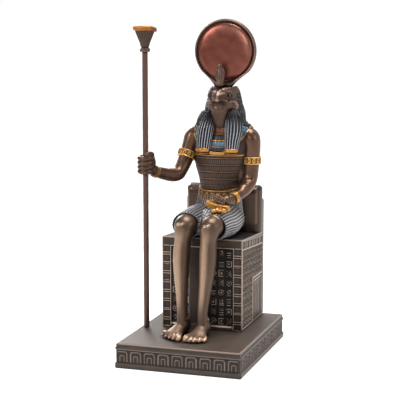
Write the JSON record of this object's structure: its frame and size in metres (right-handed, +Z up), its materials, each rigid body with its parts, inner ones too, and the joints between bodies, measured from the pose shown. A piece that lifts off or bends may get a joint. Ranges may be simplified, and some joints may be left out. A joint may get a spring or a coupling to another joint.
{
  "type": "horus figurine",
  "caption": "Seated falcon-headed figure with sun disk and papyrus staff, on a block throne and a moulded plinth; a bronze-look ornament that stands on its base.",
  "frame": {"origin": "middle of the plinth's underside", "axes": "+Z up; -Y is the way the figure faces; +X is the figure's left-hand side"},
  "size_m": [0.1056, 0.1334, 0.2694],
  "materials": {
    "plinth_bronze": "dark grey-brown bronze-look casting, rubbed lighter on its edges, satin",
    "throne_bronze": "dark bronze-look casting with copper rubbed edges and raised carving, satin",
    "figure_bronze": "polished brown bronze-look casting, tan where rubbed; painted gold, blue, blue-black and silver grey on bands, collar, headdress and kilt",
    "disk_copper": "copper red dome in a brown bronze-look rim, satin",
    "staff_brown": "plain brown bronze-look rod, satin",
    "finial_bronze": "brown bronze-look cup with a gold painted cap, satin",
    "gold_paint": "gold paint on bands, belt ends, ankh and cap, satin",
    "headdress_paint": "blue-black paint with silver rubbed ridges, satin",
    "inlay_paint": "light blue paint on collar and shoulder panels, satin",
    "kilt_paint": "silver grey paint rubbed over dark pleats, satin"
  },
  "bodies": {
    "root": {"plinth": "plinth_bronze", "throne": "throne_bronze", "figure": "figure_bronze", "sun_disk": "disk_copper", "staff_rod": "staff_brown", "papyrus_finial": "finial_bronze"}
  },
  "joints": []
}
